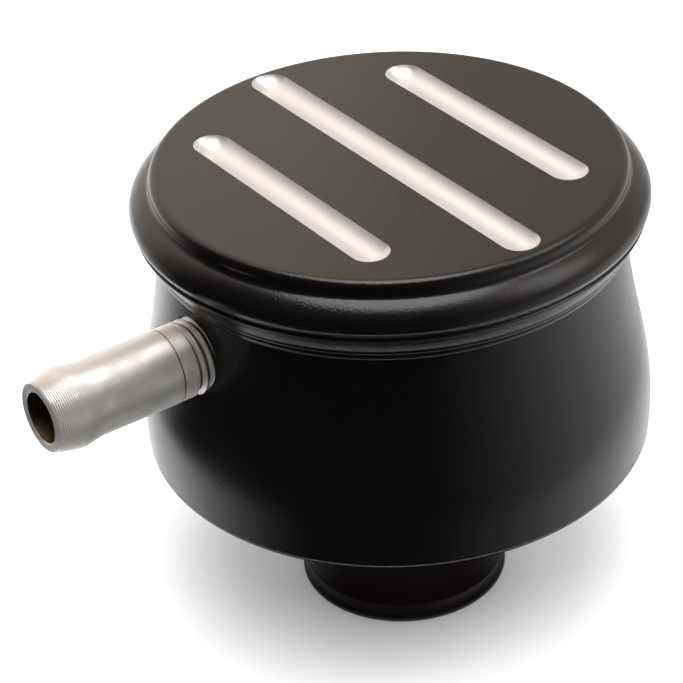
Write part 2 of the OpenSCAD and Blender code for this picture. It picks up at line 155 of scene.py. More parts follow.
class BreatherNeckSizes(bpy.types.PropertyGroup):
    """Sizes of the push-in neck"""

    radius: length("Neck radius", "Radius of the push-in neck", mm(13.4))
    wall: length("Neck wall", "Wall of the neck", mm(2.2))
    foot_out: length("Foot stand", "How far the foot bead stands out", mm(0.3))
    foot_height: length("Foot height", "Height of the foot bead", mm(2.5))
    groove: length("Foot groove", "Depth of the groove above the bead", mm(0.1))


class BreatherNippleSizes(bpy.types.PropertyGroup):
    """Sizes of the hose nipple and its thread"""

    tube_radius: length("Tube radius", "Radius of the hose tube", mm(4.76))
    bore_radius: length("Bore radius", "Radius of the nipple's bore", mm(3.25))
    mouth_radius: length("Mouth radius", "Radius of the mouth's outer edge", mm(4.45))
    chamfer: length("Mouth chamfer", "Chamfer on the mouth's outer edge", mm(0.15))
    barb_crest: length("Barb crest", "From the mouth back to the barb's crest", mm(3.7))
    barb_length: length("Barb length", "Length of the whole barb", mm(6.3))
    thread_end: length("Thread end", "From the breather's axis to the thread's end", mm(31.9))
    thread_radius: length("Thread radius", "Radius over the thread's crests", mm(4.8))
    thread_pitch: length("Thread pitch", "24 turns to the inch", mm(1.058))
    thread_depth: length("Thread depth", "Depth of the thread from crest to root", mm(0.55))
    band: length("Smooth band", "Width of the smooth band", mm(2.1))
    score: length("Score line", "Depth of the score line", mm(0.15))
    turning_pitch: length("Turning pitch", "Feed of the lathe tool per turn", mm(0.26))


class BreatherFinish(bpy.types.PropertyGroup):
    """Colours of the breather's finishes"""

    coat: colour("Black coat", "Colour of the coated aluminium", "060505")
    neck_coat: colour("Neck coat", "Colour of the neck's coat, a little browner", "120b08")
    flute: colour("Milled flute", "Colour of the bare milled aluminium", "dddddd")
    nipple: colour("Turned aluminium", "Colour of the bare turned aluminium", "dcd8d5")
    # Painted shade: the darker, browner metal of the nipple's thread valleys, bore and score line
    recess_shade: colour("Browned aluminium", "Colour of the drilled and threaded aluminium", "8d7c68")
    steel: colour("Plated steel", "Colour of the zinc plated steel", "a7a69f")
    rubber: colour("Rubber", "Colour of the seals", "141414")
    foam: colour("Foam", "Colour of the filter foam", "43464a")


class BreatherStage(bpy.types.PropertyGroup):
    """Light, room and camera round the breather"""

    azimuth: bpy.props.FloatProperty(
        name="Camera side", description="Direction from the breather to the camera",
        default=math.radians(-35), subtype="ANGLE",
    )
    lens: bpy.props.FloatProperty(
        name="Lens", description="Focal length in millimetres", default=136.41
    )
    softbox: bpy.props.FloatProperty(
        name="Softbox", description="Radiance of the softbox overhead", default=3.1
    )
    centre: bpy.props.FloatProperty(
        name="Softbox centre", description="Radiance added in the softbox's middle", default=4.0
    )
    side: bpy.props.FloatProperty(
        name="Side softbox", description="Radiance of the softbox on the right", default=3.2
    )
    walls: bpy.props.FloatProperty(
        name="Walls", description="Radiance of the light walls in reflections", default=1.2
    )
    front: bpy.props.FloatProperty(
        name="Front softbox", description="Radiance of the softbox over the camera", default=6.0
    )
    ambient: bpy.props.FloatProperty(
        name="Room light", description="Strength of the white room on matt surfaces", default=1.1
    )
    room: colour("Room", "Colour of the light walls, a little warm", "fff1e6")
    floor: colour("Floor", "Colour of the pale floor", "eeeeee")


def arc(centre, radius, start, end, steps):
    """Points (r, z) along an arc from start to end, in degrees."""
    angles = [math.radians(start + (end - start) * i / steps) for i in range(steps + 1)]
    return [(centre[0] + radius * math.cos(a), centre[1] + radius * math.sin(a)) for a in angles]


def bow(start, end, swell, steps):
    """Points from start to end that swell to the left of the way by swell."""
    run, rise = end[0] - start[0], end[1] - start[1]
    reach = math.hypot(run, rise)
    points = []
    for i in range(steps + 1):
        t = i / steps
        push = 4 * swell * t * (1 - t) / reach
        points.append((start[0] + t * run - push * rise, start[1] + t * rise + push * run))
    return points


def curve(p0, p1, p2, p3, steps):
    """Points along a cubic curve with two handles."""
    points = []
    for i in range(steps + 1):
        t = i / steps
        u = 1 - t
        weights = (u**3, 3 * u * u * t, 3 * u * t * t, t**3)
        points.append(
            tuple(sum(w * p[k] for w, p in zip(weights, (p0, p1, p2, p3))) for k in (0, 1))
        )
    return points


def spun(outline, steps, closed=True):
    """A shape turned about Z from an outline of (r, z) points, which is closed unless told."""
    bm = bmesh.new()
    verts = [bm.verts.new((r, 0, z)) for r, z in outline]
    ends = list(zip(verts, verts[1:]))
    if closed:
        ends.append((verts[-1], verts[0]))
    edges = [bm.edges.new(pair) for pair in ends]
    bmesh.ops.spin(
        bm, geom=verts + edges, cent=(0, 0, 0), axis=(0, 0, 1), dvec=(0, 0, 0),
        angle=FULL_TURN, steps=steps, use_merge=True, use_normal_flip=False, use_duplicate=False,
    )
    tidy(bm)
    return bm


def tidy(bm):
    """Merges doubles and turns every face outwards."""
    bmesh.ops.remove_doubles(bm, verts=bm.verts, dist=SAME_POINT)
    bmesh.ops.dissolve_degenerate(bm, edges=bm.edges, dist=NO_LENGTH)
    bmesh.ops.recalc_face_normals(bm, faces=bm.faces)


def lay(bm, axis, place):
    """Lays what stands upright along another axis, and moves it to its place."""
    bmesh.ops.rotate(bm, verts=bm.verts, matrix=Matrix.Rotation(QUARTER_TURN, 3, axis))
    bmesh.ops.translate(bm, verts=bm.verts, vec=place)


def join(bm, extra):
    """Adds extra's mesh to bm."""
    mesh = bpy.data.meshes.new("extra")
    extra.to_mesh(mesh)
    extra.free()
    bm.from_mesh(mesh)
    bpy.data.meshes.remove(mesh)


def to_mesh(name, bm, material):
    """A scene object that takes its mesh from bm."""
    mesh = bpy.data.meshes.new(name)
    bm.to_mesh(mesh)
    bm.free()
    mesh.materials.append(material)
    piece = bpy.data.objects.new(name, mesh)
    bpy.context.scene.collection.objects.link(piece)
    return piece


def shade(piece):
    """Smooth faces with sharp edges where the surface turns by more than the sharp angle."""
    bm = bmesh.new()
    bm.from_mesh(piece.data)
    for face in bm.faces:
        face.smooth = True
    for edge in bm.edges:
        edge.smooth = len(edge.link_faces) == 2 and edge.calc_face_angle(0) < SHARP_ANGLE
    bm.to_mesh(piece.data)
    bm.free()


def cut(piece, cutter):
    """Takes the cutter out of the piece, and leaves the cutter's material on the cut."""
    carve = piece.modifiers.new("cut", "BOOLEAN")
    carve.operation = "DIFFERENCE"
    carve.solver = "EXACT"
    carve.material_mode = "TRANSFER"
    carve.object = cutter
    done = bpy.data.meshes.new_from_object(
        piece.evaluated_get(bpy.context.evaluated_depsgraph_get())
    )
    piece.modifiers.clear()
    piece.data = done
    bpy.data.objects.remove(cutter)


def seat(piece, node):
    """Puts the piece on the part's one body, in place of its CAD node."""
    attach(piece, "root")
    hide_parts(node)


def add(tree, kind, links=(), **settings):
    """Adds a node with its settings, and links given as (input, node, output)."""
    node = tree.nodes.new(kind)
    for key, value in settings.items():
        if key.startswith("in_"):
            node.inputs[int(key[3:])].default_value = value
        else:
            setattr(node, key, value)
    for socket, source, output in links:
        tree.links.new(source.outputs[output], node.inputs[socket])
    return node


def surface(name, base, metallic, roughness):
    """A material with its shader's constant values, ready for its patterns."""
    material = bpy.data.materials.new(name)
    material.use_nodes = True
    tree = material.node_tree
    shader = tree.nodes["Principled BSDF"]
    shader.inputs["Base Color"].default_value = (*base, 1)
    shader.inputs["Metallic"].default_value = metallic
    shader.inputs["Roughness"].default_value = roughness
    return material, tree, shader


def grain(tree, size, detail=2.0, stretch=(1, 1, 1)):
    """Noise on Object coordinates with grains of about size metres, stretched along each axis."""
    place = add(tree, "ShaderNodeTexCoord")
    mapping = add(tree, "ShaderNodeMapping", [("Vector", place, "Object")])
    mapping.inputs["Scale"].default_value = [1 / (size * s) for s in stretch]
    noise = add(tree, "ShaderNodeTexNoise", [("Vector", mapping, "Vector")])
    noise.inputs["Scale"].default_value = 1
    noise.inputs["Detail"].default_value = detail
    return noise


def spread(tree, source, output, low, high):
    """Maps most of a noise pattern's values onto the range from low to high."""
    node = add(tree, "ShaderNodeMapRange", [("Value", source, output)])
    node.inputs["From Min"].default_value = NOISE_LOW
    node.inputs["From Max"].default_value = NOISE_HIGH
    node.inputs["To Min"].default_value = low
    node.inputs["To Max"].default_value = high
    return node


def raise_by(tree, shader, source, output, height, strength=1.0):
    """Bumps the shader's surface by up to height metres."""
    bump = add(tree, "ShaderNodeBump", [("Height", source, output)])
    bump.inputs["Strength"].default_value = strength
    bump.inputs["Distance"].default_value = height
    tree.links.new(bump.outputs["Normal"], shader.inputs["Normal"])
    return bump


def vary_gloss(tree, shader, pattern, low, high):
    """Lets a noise pattern move the shader's roughness from low to high."""
    rough = spread(tree, pattern, "Fac", low, high)
    tree.links.new(rough.outputs["Result"], shader.inputs["Roughness"])


def coated_aluminium(name, base, gloss, bump):
    """Satin black coat on aluminium: very dark, with a fine grain that breaks up its highlights."""
    material, tree, shader = surface(name, base, metallic=0.0, roughness=gloss[0])
    # Coat grain is about 0.1 mm, drawn at 0.3 mm so that it shows
    raise_by(tree, shader, grain(tree, mm(0.3)), "Fac", bump, strength=0.8)
    vary_gloss(tree, shader, grain(tree, mm(6)), *gloss)
    return material


def milled_aluminium(name, base):
    """Bare aluminium from a ball-nosed cutter: pale satin with fine lines along the flute."""
    material, tree, shader = surface(name, base, metallic=0.95, roughness=0.42)
    lines = grain(tree, mm(0.25), detail=3.0, stretch=(30, 1, 1))
    vary_gloss(tree, shader, lines, low=0.36, high=0.48)
    raise_by(tree, shader, lines, "Fac", height=mm(0.006), strength=0.5)
    return material


def turned_aluminium(name, base, pitch):
    """Bare aluminium off a lathe: its feed lines spread every highlight along the piece."""
    material, tree, shader = surface(name, base, metallic=0.85, roughness=0.3)
    shader.inputs["Anisotropic"].default_value = 0.75
    shader.inputs["Anisotropic Rotation"].default_value = 0.25
    round_axis = add(tree, "ShaderNodeTangent", direction_type="RADIAL", axis="Y")
    tree.links.new(round_axis.outputs["Tangent"], shader.inputs["Tangent"])
    place = add(tree, "ShaderNodeTexCoord")
    split = add(tree, "ShaderNodeSeparateXYZ", [("Vector", place, "Object")])
    turns = add(
        tree, "ShaderNodeMath", [(0, split, "Y")], operation="MULTIPLY", in_1=FULL_TURN / pitch)
    wave = add(tree, "ShaderNodeMath", [(0, turns, "Value")], operation="SINE")
    # The tool cuts a little deeper in some places than in others
    patch = grain(tree, mm(2.5))
    lift = spread(tree, patch, "Fac", low=0.4, high=1.0)
    height = add(
        tree, "ShaderNodeMath", [(0, wave, "Value"), (1, lift, "Result")], operation="MULTIPLY")
    rings = raise_by(tree, shader, height, "Value", height=mm(0.035))
    # Chatter leaves soft waves of about 1 mm under the feed lines
    waves = add(tree, "ShaderNodeBump", [("Height", grain(tree, mm(1)), "Fac")])
    waves.inputs["Distance"].default_value = mm(0.05)
    waves.inputs["Strength"].default_value = 0.7
    tree.links.new(waves.outputs["Normal"], rings.inputs["Normal"])
    vary_gloss(tree, shader, patch, low=0.3, high=0.46)
    return material


def painted_recess_shade(name, base):
    """Drilled and threaded aluminium, rough, darker and browner: painted shade in the nipple's
    thread valleys, bore and score line.
    """
    material, tree, shader = surface(name, base, metallic=1.0, roughness=0.5)
    vary_gloss(tree, shader, grain(tree, mm(0.8), detail=3.0), low=0.42, high=0.6)
    marks = grain(tree, mm(0.25), detail=3.0)
    raise_by(tree, shader, marks, "Fac", height=mm(0.02), strength=0.8)
    return material


def plated_steel(name, base):
    """Zinc plated steel: grey, with faint clouding in its gloss."""
    material, tree, shader = surface(name, base, metallic=1.0, roughness=0.35)
    vary_gloss(tree, shader, grain(tree, mm(1.5), detail=3.0), low=0.28, high=0.45)
    return material


def seal_rubber(name, base):
    """Moulded nitrile rubber: dull black with a fine matt skin."""
    material, tree, shader = surface(name, base, metallic=0.0, roughness=0.7)
    raise_by(tree, shader, grain(tree, mm(0.3)), "Fac", height=mm(0.01), strength=0.4)
    return material


def filter_foam(name, base):
    """Open-celled filter foam: dark, with pores of about 1 mm."""
    material, tree, shader = surface(name, base, metallic=0.0, roughness=0.95)
    place = add(tree, "ShaderNodeTexCoord")
    cells = add(tree, "ShaderNodeTexVoronoi", [("Vector", place, "Object")])
    cells.inputs["Scale"].default_value = 1 / mm(1.0)
    raise_by(tree, shader, cells, "Distance", height=mm(0.4), strength=0.9)
    return material


class BREATHER_OT_body(bpy.types.Operator):
    """Turns the bowl with its rim, beads, waist and belly"""

    bl_idname = "breather.body"
    bl_label = "Body"

    def execute(self, context):
        s = context.scene.breather_body
        edge, rim_round = mm(0.15), mm(0.35)
        cove_top = BODY_HEIGHT - s.rim_thickness
        bead_top = cove_top - s.cove_height
        bead_split = bead_top - s.upper_bead
        bead_foot = bead_split - s.lower_bead
        waist_drop, split = mm(0.3), mm(0.12)
        waist_at = bead_foot - waist_drop
        wall = waist_at - s.base_round
        # The belly's two handles, from the foot's round upwards and from the waist downwards
        low_handle, high_handle = 0.41 * wall, 0.49 * wall
        # The lower bead slopes in to its foot, and both beads lean a little
        slope, lean = mm(0.38), mm(0.1)
        lower_swell, upper_swell = mm(0.12), mm(0.06)
        upper = s.waist_radius + s.upper_out
        lower = s.waist_radius + s.lower_out
        rim_inner = s.rim_radius - rim_round
        outside = (
            arc((s.base_radius - s.base_round, s.base_round), s.base_round, -90, 0, 12)
            + curve(
                (s.base_radius, s.base_round + split),
                (s.base_radius + s.belly_swell, s.base_round + low_handle),
                (s.waist_radius + s.waist_lean, waist_at - high_handle),
                (s.waist_radius, waist_at), 48)
            + bow((lower - slope, bead_foot), (lower, bead_split - split), -lower_swell, 12)
            + [(lower - lean, bead_split)]
            + bow((upper - lean, bead_split + split), (upper + lean, bead_top), -upper_swell, 8)
            + bow((upper + lean, bead_top + split), (rim_inner, cove_top), s.cove_hollow, 12)
            # The rim's round starts where the cove ends, a little past its lowest point
            + arc((rim_inner, cove_top + rim_round), rim_round, -85, 0, 8)
            + [(s.rim_radius, BODY_HEIGHT - edge), (s.rim_radius - edge, BODY_HEIGHT)]
        )
        lead_in, fillet = mm(0.4), mm(1.5)
        low_bore = s.bore_radius - s.ledge_width
        inside = (
            [(s.bore_radius + lead_in, BODY_HEIGHT), (s.bore_radius, BODY_HEIGHT - lead_in),
             (s.bore_radius, s.ledge_at), (low_bore, s.ledge_at)]
            + arc((low_bore - fillet, s.floor + fillet), fillet, 0, -90, 8)
            + [(s.floor_hole, s.floor), (s.floor_hole, 0)]
        )
        coat = bpy.data.materials["satin_black_coat"]
        body = to_mesh("breather_body", spun(outside + inside, steps=320), coat)
        # The nipple's hole leaves a little room round the thread and passes the whole wall
        hole = context.scene.breather_nipple.thread_radius + mm(0.03)
        hole_length, hole_middle = mm(12), mm(30.5)
        drill = bmesh.new()
        bmesh.ops.create_cone(
            drill, cap_ends=True, segments=96, radius1=hole, radius2=hole, depth=hole_length,
        )
        lay(drill, "X", (0, -hole_middle, NIPPLE_AXIS))
        cut(body, to_mesh("nipple_drill", drill, coat))
        shade(body)
        seat(body, "body")
        return {"FINISHED"}


class BREATHER_OT_cap(bpy.types.Operator):
    """Turns the cap and mills its three flutes"""

    bl_idname = "breather.cap"
    bl_label = "Cap"

    def execute(self, context):
        s = context.scene.breather_cap
        fullest = BODY_HEIGHT + s.lip_rise
        # Degrees over which the crown and the lip's underside turn
        turn, under = 40, 40
        least_wall, lead_in = mm(0.1), mm(0.4)
        foot_step, foot_edge = mm(0.3), mm(0.15)
        lip = (LIP_RADIUS - s.lip_round, fullest)
        crown = (LIP_RADIUS - s.crown_round, fullest)
        step_in = s.shoulder_round - s.crown_round
        shoulder = (
            crown[0] - step_in * math.cos(math.radians(turn)),
            crown[1] - step_in * math.sin(math.radians(turn)),
        )
        # The cove touches the disc's wall and the shoulder
        reach = s.shoulder_round + s.disc_cove
        cove = s.disc_radius + s.disc_cove
        cove_at = shoulder[1] + math.sqrt(reach**2 - (cove - shoulder[0]) ** 2)
        cove_turn = math.degrees(math.acos((cove - shoulder[0]) / reach))
        disc_round = min(s.disc_round, CAP_TOP - cove_at - least_wall)
        flat = s.disc_radius - disc_round
        spigot = context.scene.breather_body.bore_radius - s.spigot_fit
        spigot_low = BODY_HEIGHT - s.spigot_height
        gland = BODY_HEIGHT - s.spigot_height / 2 - s.gland_height / 2
        ceiling = BODY_HEIGHT + s.hollow_rise
        boss_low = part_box("filter_lid")[1][2]
        foot = lip[0] + s.lip_round * math.cos(math.radians(under)) - foot_step
        outline = (
            [(0, boss_low + s.tie_depth), (s.tie_hole, boss_low + s.tie_depth),
             (s.tie_hole, boss_low), (s.boss_radius, boss_low), (s.boss_radius, ceiling),
             (spigot - s.spigot_wall, ceiling), (spigot - s.spigot_wall, spigot_low),
             (spigot - lead_in, spigot_low), (spigot, spigot_low + lead_in), (spigot, gland),
             (s.gland_radius, gland), (s.gland_radius, gland + s.gland_height),
             (spigot, gland + s.gland_height), (spigot, BODY_HEIGHT), (foot, BODY_HEIGHT),
             (foot + foot_edge, BODY_HEIGHT + foot_edge)]
            # Each arc starts a few degrees late where it goes on from the one before
            + arc(lip, s.lip_round, -under, 0, 20)
            + arc(crown, s.crown_round, 3, turn, 20)
            + arc(shoulder, s.shoulder_round, turn + 1, cove_turn, 24)
            + arc((cove, cove_at), s.disc_cove, 180 + cove_turn - 5, 180, 10)
            + arc((flat, CAP_TOP - disc_round), disc_round, 0, 90, 24)
            # A ring close inside the edge keeps the flat top's shading flat
            + [(flat - mm(0.05), CAP_TOP), (0, CAP_TOP)]
        )
        coat = bpy.data.materials["satin_black_coat"]
        cap = to_mesh("breather_cap", spun(outline, steps=320, closed=False), coat)
        bm = bmesh.new()
        for span, offset in (
            (2 * (s.disc_radius - s.flute_margin), 0),
            (s.outer_flute, s.flute_pitch),
            (s.outer_flute, -s.flute_pitch),
        ):
            self.add_ball_track(bm, s, span, offset)
        cut(cap, to_mesh("ball_tracks", bm, bpy.data.materials["milled_bare_aluminium"]))
        shade(cap)
        seat(cap, "cap")
        return {"FINISHED"}

    def add_ball_track(self, bm, s, span, offset):
        """Adds the bar with round ends that a ball-nosed cutter sweeps along X."""
        ball = ((s.flute_width / 2) ** 2 + s.flute_depth**2) / (2 * s.flute_depth)
        half = (span - s.flute_width) / 2
        outline = arc((0, -half), ball, -90, 0, 32) + arc((0, half), ball, 0, 90, 32)
        track = spun(outline, steps=96, closed=False)
        lay(track, "Y", (0, offset, CAP_TOP - s.flute_depth + ball))
        join(bm, track)


class BREATHER_OT_neck(bpy.types.Operator):
    """Turns the push-in neck with its foot bead and flange"""

    bl_idname = "breather.neck"
    bl_label = "Neck"

    def execute(self, context):
        s = context.scene.breather_neck
        low, edge = -NECK_REACH, mm(0.4)
        flange_thickness, pilot_step, bead_swell = mm(2), mm(0.1), mm(0.06)
        # The groove keeps its depth so far above the bead, and has run out so far above it
        groove_flat, groove_end = mm(0.17), mm(0.35)
        bore = s.radius - s.wall
        groove_at = low + s.foot_height
        bead = s.radius + s.foot_out - edge
        flange = NECK_HIGH[0]
        flange_top = NECK_HIGH[2]
        flange_low = flange_top - flange_thickness
        pilot = s.radius + pilot_step
        outline = (
            [(bore, low + edge), (bore + edge, low)]
            + arc((bead, low + edge), edge, -90, 0, 8)
            # The bead keeps its full width for half its height, then swells in to the groove
            + bow((s.radius + s.foot_out, low + s.foot_height / 2),
                  (s.radius - s.groove, groove_at), -bead_swell, 12)
            + [(s.radius - s.groove, groove_at + groove_flat),
               (s.radius, groove_at + groove_end), (s.radius, 0), (pilot, 0), (pilot, flange_low),
               (flange, flange_low), (flange, flange_top), (bore, flange_top)]
        )
        coat = bpy.data.materials["neck_black_coat"]
        neck = to_mesh("push_in_neck", spun(outline, steps=256), coat)
        shade(neck)
        seat(neck, "neck")
        return {"FINISHED"}


class BREATHER_OT_nipple(bpy.types.Operator):
    """Turns the hose nipple and cuts its pipe thread"""

    bl_idname = "breather.nipple"
    bl_label = "Hose nipple"

    def execute(self, context):
        s = context.scene.breather_nipple
        band_end = s.thread_end + s.band
        # The smooth band is cut a little below the tube, with a narrow step and edge
        band_drop, band_step, band_edge = mm(0.06), mm(0.05), mm(0.12)
        band_radius = s.tube_radius - band_drop
        root = s.thread_radius - s.thread_depth
        crest = MOUTH_AT - s.barb_crest
        barb_foot = MOUTH_AT - s.barb_length
        bore_edge, root_end = mm(0.1), s.thread_end - mm(0.15)
        score_middle, score_end = band_end + mm(0.1), band_end + mm(0.2)
        # The barb is hollow behind its crest, level over it and swells out in front of it
        crest_half, barb_hollow, barb_swell = mm(0.3), mm(0.03), mm(0.08)
        outline = (
            [(s.bore_radius, NIPPLE_INNER), (root, NIPPLE_INNER), (root, root_end),
             (band_radius - band_step, s.thread_end + band_step),
             (band_radius, s.thread_end + band_edge), (band_radius, band_end),
             (s.tube_radius - s.score, score_middle), (s.tube_radius, score_end)]
            + bow((s.tube_radius, barb_foot), (BARB_RADIUS, crest - crest_half), barb_hollow, 12)
            + bow((BARB_RADIUS, crest + crest_half), (s.mouth_radius, MOUTH_AT - s.chamfer),
                  -barb_swell, 12)
            + [(s.mouth_radius - s.chamfer, MOUTH_AT), (s.bore_radius + bore_edge, MOUTH_AT),
               (s.bore_radius, MOUTH_AT - bore_edge)]
        )
        bm = spun(outline, steps=192)
        # A face is in the thread or in the bore when it lies so close to its radius
        thread_skin, bore_skin = mm(0.1), mm(0.02)
        for face in bm.faces:
            middle = face.calc_center_median()
            radius = math.hypot(middle.x, middle.y)
            in_thread = middle.z < s.thread_end and radius < root + thread_skin
            in_bore = radius < s.bore_radius + bore_skin and abs(face.normal.z) < 0.5
            in_score = band_end < middle.z < score_end and radius > s.bore_radius + thread_skin
            # These faces take the darker metal of the second slot: painted shade in the thread's
            # valleys, the bore and the score line
            face.material_index = int(in_thread or in_bore or in_score)
        self.add_thread(bm, s, root)
        lay(bm, "X", (0, 0, NIPPLE_AXIS))
        nipple = to_mesh("turned_hose_nipple", bm, bpy.data.materials["turned_bare_aluminium"])
        # The second slot holds the darker, browner metal painted as shade in the recesses
        nipple.data.materials.append(bpy.data.materials["browned_bare_aluminium"])
        shade(nipple)
        seat(nipple, "hose_nipple")
        return {"FINISHED"}

    def add_thread(self, bm, s, root):
        """Sweeps the thread's ridge round the nipple, until it runs out at the smooth band."""
        half, crest_half = 0.36 * s.thread_pitch, s.thread_pitch / 16
        # The ridge is sunk a little into the root, and tapers by 1 in 16 on its diameter
        sink, taper = mm(0.05), 1 / 32
        turns, fade, per_turn = 4.75, 0.5, 96
        run_out, turns_below = mm(0.85), 4
        start = s.thread_end - run_out - turns_below * s.thread_pitch
        ridge = bmesh.new()
        verts = [
            ridge.verts.new((r, 0, z)) for r, z in (
                (root - sink, start - half), (s.thread_radius, start - crest_half),
                (s.thread_radius, start + crest_half), (root - sink, start + half))
        ]
        face = ridge.faces.new(verts)
        bmesh.ops.spin(
            ridge, geom=[face, *face.edges, *verts], cent=(0, 0, 0), axis=(0, 0, 1),
            dvec=(0, 0, s.thread_pitch / per_turn), angle=FULL_TURN * turns,
            steps=int(turns * per_turn), use_merge=False, use_normal_flip=False,
            use_duplicate=False,
        )
        for vert in ridge.verts:
            radius = math.hypot(vert.co.x, vert.co.y)
            if radius > root:
                part = math.atan2(vert.co.y, vert.co.x) / FULL_TURN
                turn = round((vert.co.z - start) / s.thread_pitch - part) + part
                late = max(0, turn - turns + fade) / fade
                lower = taper * (s.thread_end - vert.co.z) + late**2 * (s.thread_depth + sink / 2)
                vert.co.xy *= (radius - lower) / radius
        bmesh.ops.holes_fill(ridge, edges=[e for e in ridge.edges if e.is_boundary], sides=4)
        tidy(ridge)
        join(bm, ridge)


class BREATHER_OT_inside(bpy.types.Operator):
    """Gives the inner pieces their metals, rubber and foam"""

    bl_idname = "breather.inside"
    bl_label = "Inner pieces"

    def execute(self, context):
        finish = {
            "zinc_plated_steel": (
                "neck_screw_1", "neck_screw_2", "neck_screw_3", "carrier_plate", "lower_spacer",
                "splash_baffle", "baffle_sleeve", "filter_seat", "filter_core", "filter_screen",
                "filter_lid", "tie_screw", "flat_washer", "lock_washer"),
            "nitrile_rubber": ("neck_gasket", "cap_o_ring"),
            "open_cell_foam": ("filter_element",),
        }
        for name, nodes in finish.items():
            for node in nodes:
                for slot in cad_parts[node].material_slots:
                    slot.material = bpy.data.materials[name]
        return {"FINISHED"}


class BREATHER_OT_finish(bpy.types.Operator):
    """Makes the materials from the colours in the sidebar"""

    bl_idname = "breather.finish"
    bl_label = "Materials"

    def execute(self, context):
        s = context.scene.breather_finish
        pitch = context.scene.breather_nipple.turning_pitch
        coated_aluminium("satin_black_coat", s.coat, gloss=(0.2, 0.25), bump=mm(0.03))
        coated_aluminium("neck_black_coat", s.neck_coat, gloss=(0.38, 0.46), bump=mm(0.015))
        milled_aluminium("milled_bare_aluminium", s.flute)
        turned_aluminium("turned_bare_aluminium", s.nipple, pitch)
        # The darker metal painted as shade in the nipple's recesses
        painted_recess_shade("browned_bare_aluminium", s.recess_shade)
        plated_steel("zinc_plated_steel", s.steel)
        seal_rubber("nitrile_rubber", s.rubber)
        filter_foam("open_cell_foam", s.foam)
        return {"FINISHED"}


